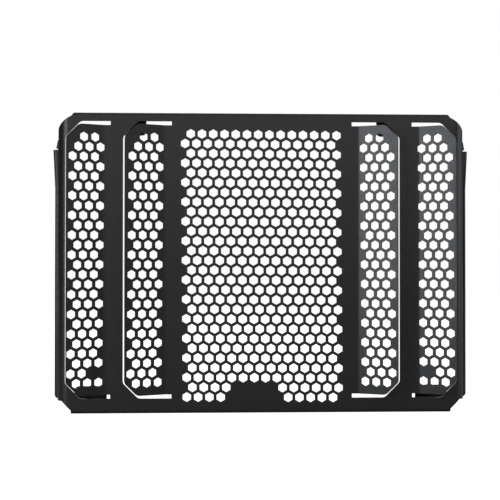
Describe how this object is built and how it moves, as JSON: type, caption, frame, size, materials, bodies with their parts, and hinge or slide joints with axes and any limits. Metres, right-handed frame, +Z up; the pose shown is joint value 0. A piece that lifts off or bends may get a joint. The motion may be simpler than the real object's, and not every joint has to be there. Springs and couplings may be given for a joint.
{
  "type": "motorcycle radiator guard",
  "caption": "Folded sheet guard for a motorcycle radiator, with a hexagonal grille, bent-out louvres, side flanges and bolt tabs.",
  "frame": {"origin": "middle of the guard's overall box", "axes": "+X across the motorcycle, +Y back towards the radiator, +Z up; the louvres open towards -Y"},
  "size_m": [0.396, 0.0438, 0.28],
  "materials": {
    "powder_coat": "satin black powder coat on aluminium"
  },
  "bodies": {
    "root": {"guard_sheet": "powder_coat"}
  },
  "joints": []
}
